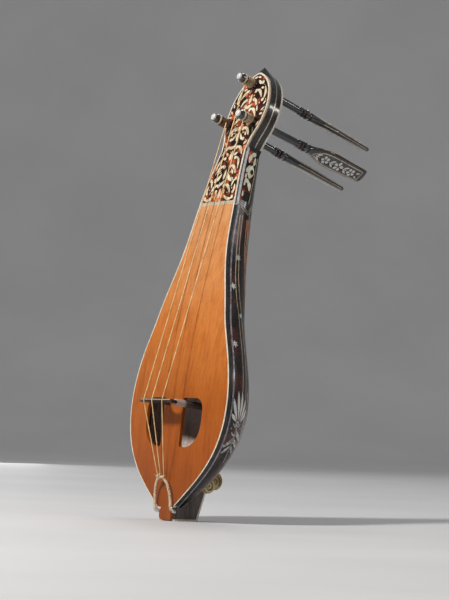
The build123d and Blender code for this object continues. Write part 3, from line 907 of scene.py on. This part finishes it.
def edge_bands():
    """Black, brown and pearl lines on the side, right behind the white edging."""
    seam = box_mm("seam_band")[0].z
    waist = box_mm("neck_panel_right")[1].z
    crown = box_mm("face_plate")[1].z
    body = spaced(14, seam, 70)
    edge = edge_line(["edging_right"], body)
    nodes = ["edging_right", "rim_strip_right", "stave_1"]
    # In short pieces, so that one that misses the nodes doesn't take the whole line with it.
    pieces = [band_along(1.62, 1.5, body[i:i + 8], edge[i:i + 8]) for i in range(0, len(body) - 1, 7)]
    both_sides("edge_black", pieces, nodes, "edge_ebony", "ebony")
    neck = spaced(seam + 1, waist + 2, 20)
    edge = edge_line(["face_edging"], neck)
    nodes = ["face_edging", "neck", "neck_panel_right"]
    both_sides("neck_black", [band_along(1.35, 0.5, neck, edge)], nodes, "edge_ebony", "ebony")
    both_sides("neck_pearl", [band_along(3.2, 1.25, neck, edge)], nodes, "pearl_line", "pearl_strip")
    head = spaced(waist + 3, crown - 10, 40)
    edge = edge_line(["face_edging"], head)
    nodes = ["face_edging", "neck"]
    both_sides("head_brown", [band_along(2.1, 0.4, head, edge)], nodes, "horn", "tortoiseshell")
    both_sides("head_black", [band_along(2.95, 0.45, head, edge)], nodes, "edge_ebony", "ebony")


def handle_border(half_width, first, last):
    """Line round the broad face of a handle, pointed at its inner end, between two places along it."""
    share = 0.70
    point = 11
    edge = []
    for a in spaced(first, last, 24):
        opening = min(1.0, (a - first) / point) ** 0.75
        edge.append((half_width(a) * share * opening, a))
    widths = [0.42] * len(edge)
    mirrored = [(-u, a) for u, a in edge]
    across = [(edge[-1][0] * k / 8, last) for k in range(-8, 9)]
    return [Stroke(edge, widths), Stroke(mirrored, widths), Stroke(across, [0.42] * len(across))]


def handle_flowers(first):
    """Three flowers with leaves between them, from the inner end of a handle's panel."""
    strokes = []
    for a, size in ((first + 16, 4.6), (first + 32.5, 5.4), (first + 48.5, 4.6)):
        strokes += petals(0, a, 5, 0.9, size, 1.55, 90 + a * 7, 0.62)
    for a in (first + 5, first + 22.5, first + 39.5):
        strokes.append(leaf((0, a - 1.5), 90, 5.6, 0.5))
        strokes += [leaf((side, a), 90 - side * 38, 5.6, 0.95, side * 0.05) for side in (1, -1)]
    strokes += [leaf((side * 1.6, first + 54.5), 90 - side * 28, 4.0, 0.8) for side in (1, -1)]
    return strokes


def peg_inlay(name):
    """A bordered panel of flowers on both broad faces of a peg's handle, and a line on both edges."""
    axis = Vector(JOINTS[name]["axis"]).normalized()
    foot = Vector(JOINTS[name]["pos_m"])
    points = [v.co - foot for v in NODES[name].data.vertices]
    along = [p.dot(axis) / MM for p in points]
    end = max(along)
    blade = 45
    flat = np.array([p - axis * p.dot(axis) for p, a in zip(points, along) if a > end - blade])
    across = Vector(np.linalg.eigh(flat.T @ flat)[1][:, -1])
    spread = [(a, abs(p.dot(across)) / MM) for p, a in zip(points, along)]

    def half_width(a):
        near = sorted(spread, key=lambda s: abs(s[0] - a))[:40]
        return max(w for _, w in near)

    first = end - 64
    last = end - 4.5
    face_normal = axis.cross(across)
    for side, word in ((1, "a"), (-1, "b")):
        ray = face_normal * side
        surface = Surface([name], foot - ray * REACH / 4, ray, axis)
        border = Inlay(surface).add(*handle_border(half_width, first, last))
        border.finish("%s_border_%s" % (name, word), "bone_ring", "bone", name)
        flowers = Inlay(surface).add(*handle_flowers(first))
        flowers.finish("%s_flowers_%s" % (name, word), "pearl", "pearl", name)
        ray = across * side
        surface = Surface([name], foot - ray * REACH / 4, ray, axis)
        line = Inlay(surface).add(upright(0, first + 8, last + 2, 0.3, 30))
        line.finish("%s_edge_line_%s" % (name, word), "bone_ring", "bone", name)


# ---------------------------------------------------------------- solid pieces
def smooth_path(points, samples):
    """Catmull-Rom curve through the points."""
    points = [Vector(p) for p in points]
    ends = [2 * points[0] - points[1]] + points + [2 * points[-1] - points[-2]]
    path = []
    for i in range(samples + 1):
        at = (len(points) - 1) * i / samples
        k = min(int(at), len(points) - 2)
        t = at - k
        a, b, c, d = ends[k:k + 4]
        square = 2 * a - 5 * b + 4 * c - d
        cube = 3 * b - a - 3 * c + d
        path.append(0.5 * (2 * b + (c - a) * t + square * t**2 + cube * t**3))
    return path


def directions(path):
    """Two crosswise unit vectors at each point, carried along without twist."""
    side = None
    found = []
    for i in range(len(path)):
        along = (path[min(i + 1, len(path) - 1)] - path[max(i - 1, 0)]).normalized()
        side = side or along.orthogonal().normalized()
        side = (side - along * side.dot(along)).normalized()
        found.append((side, along.cross(side)))
    return found


def tube(mesh, path, radii, sides):
    """A round rod along the path, in mm, added to the mesh in metres."""
    rings = []
    turns = [2 * math.pi * k / sides for k in range(sides)]
    for p, (a, b), r in zip(path, directions(path), radii):
        ring = [(p + (a * math.cos(t) + b * math.sin(t)) * r) * MM for t in turns]
        rings.append([mesh.verts.new(point) for point in ring])
    for a, b in zip(rings, rings[1:]):
        for k in range(sides):
            mesh.faces.new((a[k], a[(k + 1) % sides], b[(k + 1) % sides], b[k]))
    mesh.faces.new(rings[0][::-1])
    mesh.faces.new(rings[-1])


# Middle line of the tail loop's right half in mm, from the pin up, and its top.
TAIL_LOOP = [
    (12.0, -12.3, 8.4), (12.4, -16.3, 11.6), (12.5, -17.1, 20.0),
    (9.6, -18.3, 31.5), (4.6, -19.3, 37.6),
]
LOOP_TOP = (0, -19.8, 39.0)


def tail_rope():
    """The tail loop is two plies of gut twisted together."""
    twists = 22
    apart, radius = 0.62, 0.78
    left = [(-x, y, z) for x, y, z in TAIL_LOOP]
    path = smooth_path(left + [LOOP_TOP] + TAIL_LOOP[::-1], 260)
    frames = directions(path)
    mesh = bmesh.new()
    for phase in (0, math.pi):
        ply = []
        for i, (p, (a, b)) in enumerate(zip(path, frames)):
            t = phase + 2 * math.pi * twists * i / len(path)
            ply.append(p + (a * math.cos(t) + b * math.sin(t)) * apart)
        tube(mesh, ply, [radius] * len(ply), 8)
    rope = add_piece(mesh, "tail_rope", "tail_rope")
    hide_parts("tail_gut")


def string_knots():
    """Each string is tied to the tail loop with a trefoil knot and a cut end left standing."""
    size, radius, steps = 0.52, 0.42, 48
    mesh = bmesh.new()
    for x, y, z, turn in ((-4.6, -19.9, 38.9, 0.4), (0.0, -20.6, 40.6, 1.5), (4.6, -19.9, 38.9, 2.4)):
        place = Matrix.Translation((x, y, z)) @ Matrix.Rotation(turn, 4, "Y")
        knot = []
        for i in range(steps + 1):
            t = 2 * math.pi * i / steps * 0.98
            across = math.sin(t) + 2 * math.sin(2 * t)
            upward = math.cos(t) - 2 * math.cos(2 * t)
            knot.append(place @ (Vector((across, -math.sin(3 * t), upward)) * size))
        tube(mesh, knot, [radius] * len(knot), 8)
        out = Vector((math.cos(turn + 2.2), -0.35, math.sin(turn + 2.2)))
        start = Vector((x, y, z))
        tube(mesh, [start + out * d for d in (0.4, 1.6, 2.8, 3.8)], [0.36, 0.34, 0.32, 0.26], 8)
    add_piece(mesh, "string_knots", "gut_gold")


# Middle line of the right hook in mm, from the pin outwards and up.
HOOK = [
    (11.0, -12.4, 8.4), (13.4, -13.6, 8.3), (14.6, -15.2, 9.4),
    (14.4, -16.2, 11.6), (13.0, -16.6, 13.2),
]


def pin_hooks():
    """Tapering silver hooks at the ends of the pin keep the loop on."""
    steps = 16
    mesh = bmesh.new()
    for side in (1, -1):
        path = smooth_path([(side * x, y, z) for x, y, z in HOOK], steps)
        radii = [1.5 - 1.15 * (i / steps) ** 1.4 for i in range(steps + 1)]
        tube(mesh, path, radii, 12)
    add_piece(mesh, "pin_hooks", "silver")


def spiral(y, z, radius, half, spin, start):
    """A line that winds inwards round (y, z) in 1.55 turns and thins on the way."""
    steps = 44
    points, widths = [], []
    for i in range(steps + 1):
        share = i / steps
        a = start + spin * 2 * math.pi * 1.55 * share
        r = radius * (1 - share) ** 0.8 + 0.5
        points.append((y + r * math.cos(a), z + r * math.sin(a)))
        widths.append(half * (1 - 0.45 * share))
    return Stroke(points, widths)


def scroll_carving():
    """Raised spiral ribs in a lighter copy of the bone as painted highlight, with dark lines of painted
    shade in the hollows between them, on both flanks of the tail scroll.
    """
    ribs, painted_crease_shades = [], []
    for y, z, reach, spin, start in ((35.2, 36.0, 7.3, 1, -0.9), (28.8, 30.8, 5.2, -1, 1.2)):
        ribs.append(spiral(y, z, reach, 0.95, spin, start))
        painted_crease_shades.append(spiral(y, z, reach - 1.75, 0.4, spin, start))
    for i in range(4):
        ribs.append(leaf((27.6 + i * 1.9, 38.0 + i * 1.7), 52 - i * 9, 4.6, 0.75, 0.05))
    both_sides("scroll_ribs", ribs, ["tail_scroll"], "scroll_painted_highlight", "scroll_bone", proud=0.75)
    # The crease lines are painted shade, in dark horn.
    both_sides("scroll_creases", painted_crease_shades, ["tail_scroll"], "dark_horn", "scroll_bone", proud=0.10)


def bridge_painted_highlight():
    """Painted highlight along the bridge's top: a light strip in eight pieces that follow its curve."""
    low = box_mm("bridge")[0]
    front = [v.co.z / MM for v in NODES["bridge"].data.vertices if v.co.y / MM < low.y + 4]
    height = sum(front) / len(front) + 0.7
    piece, steps = 6.0, 8
    strokes = []
    for k in range(8):
        across = spaced(low.x + 2 + k * piece, low.x + 2 + (k + 1) * piece, steps)
        strokes.append(Stroke([(u, height) for u in across], [0.32] * (steps + 1)))
    # The pale strip stands in for the highlight on the bridge's top edge.
    surface = Surface(["bridge"], (0, -REACH, 0), (0, 1, 0))
    Inlay(surface, 0.10).add(*strokes).finish("bridge_painted_highlight", "bone_line", "bone_line")


def bowl_lining():
    """Bare wood on the inside of the bowl, seen through the sound holes."""
    rows, columns = 44, 41
    inside = Surface(BOWL, (0, 0, 0), (0, 1, 0))
    mesh = bmesh.new()
    grid = []
    for height in spaced(0.040, 0.250, rows - 1):
        centre = FAN_FOOT.lerp(FAN_NECK, (height - FAN_FOOT.z) / (FAN_NECK.z - FAN_FOOT.z))
        row = []
        for angle in spaced(6, 174, columns - 1):
            a = math.radians(angle)
            point, normal, _ = inside.cast(centre, Vector((math.cos(a), math.sin(a), 0)))
            skin = mesh.verts.new(point + normal * 0.15 * MM)
            back = mesh.verts.new(point - normal * 0.3 * MM)
            row.append((skin, back))
        grid.append(row)
    for layer in (0, 1):
        for a, b in zip(grid, grid[1:]):
            for k in range(columns - 1):
                mesh.faces.new((a[k][layer], a[k + 1][layer], b[k + 1][layer], b[k][layer]))
    for rim in (grid[0], grid[-1], [row[0] for row in grid], [row[-1] for row in grid]):
        for a, b in zip(rim, rim[1:]):
            mesh.faces.new((a[0], b[0], b[1], a[1]))
    add_piece(mesh, "bowl_lining", "lining_wood")


face_inlay()
neck_side()
chevrons()
bowl_side()
flank_lines()
bowl_back()
stave_bands()
edge_bands()
for peg in ("peg_top", "peg_left", "peg_right"):
    peg_inlay(peg)
tail_rope()
string_knots()
pin_hooks()
scroll_carving()
bridge_painted_highlight()
bowl_lining()


# ---------------------------------------------------------------- stage, light, camera
def stage():
    """Seamless pale bowl: flat floor turning up into a low wall."""
    flat, bend, wall = 3.2, 1.6, 3.2
    profile = [(r, 0.0) for r in (0.4, 1.2, 2.2, flat)]
    steps = 12
    for i in range(1, steps + 1):
        a = math.pi / 2 * i / steps
        profile.append((flat + bend * math.sin(a), bend * (1 - math.cos(a))))
    profile.append((flat + bend, wall))
    sides = 96
    angles = [2 * math.pi * k / sides for k in range(sides)]
    mesh = bmesh.new()
    centre = mesh.verts.new((0, 0, 0))
    rings = []
    for r, z in profile:
        rings.append([mesh.verts.new((r * math.cos(a), r * math.sin(a), z)) for a in angles])
    for k in range(sides):
        mesh.faces.new((centre, rings[0][k], rings[0][(k + 1) % sides]))
        for a, b in zip(rings, rings[1:]):
            mesh.faces.new((a[k], b[k], b[(k + 1) % sides], a[(k + 1) % sides]))
    g = Graph("stage", Specular_IOR_Level=0.2)
    paper = g.ramp(g.noise(3.0), (0.3, (0.60, 0.60, 0.61)), (0.7, (0.66, 0.66, 0.665)))
    g.finish(paper, 0.6)
    smooth_object(mesh, "stage", "stage")


def area_light(name, place, aim, size, power, colour=WHITE):
    """A rectangular light of so many watts, turned to its aim."""
    light = bpy.data.lights.new(name, "AREA")
    light.shape = "RECTANGLE"
    light.size, light.size_y = size
    light.energy = power
    light.color = colour
    made = new_object(name, light)
    made.location = place
    made.rotation_euler = (Vector(aim) - Vector(place)).to_track_quat("-Z", "Y").to_euler()


def lights():
    """High frontal key, a low one from behind for the polished pegs, soft light on the rest."""
    middle = (CAD_LOW + CAD_HIGH) / 2
    area_light("key", (0.15, -1.85, 1.85), middle, (0.30, 0.30), 58, (1.0, 0.97, 0.93))
    area_light("side", (1.60, 1.40, 0.95), (0.05, 0.12, 0.36), (0.26, 0.16), 2.6)
    area_light("rim", (-0.9, 1.0, 2.3), middle, (0.9, 0.4), 12)
    area_light("left", (-2.2, 0.6, 0.5), middle, (1.0, 1.0), 5)
    world = bpy.data.worlds.new("studio")
    world.use_nodes = True
    background = world.node_tree.nodes["Background"]
    background.inputs["Color"].default_value = (0.86, 0.87, 0.90, 1)
    background.inputs["Strength"].default_value = 0.28
    bpy.context.scene.world = world


def camera():
    """Long lens, low and to the front right of the object."""
    data = bpy.data.cameras.new("camera")
    data.sensor_width = 36.0
    data.lens = 144.44
    data.clip_end = 50.0
    made = new_object("camera", data)
    right = Vector((0.5632, 0.8257, 0.0325)).normalized()
    back = Vector((0.8260, -0.5615, -0.0507))
    back = (back - right * back.dot(right)).normalized()
    up = back.cross(right)
    axes = Matrix((right, up, back)).transposed()
    place = Matrix.Translation((1.80852, -1.18630, 0.08933))
    made.matrix_world = place @ axes.to_4x4()
    bpy.context.scene.camera = made


stage()
lights()
camera()
bpy.context.scene.view_settings.view_transform = "Standard"
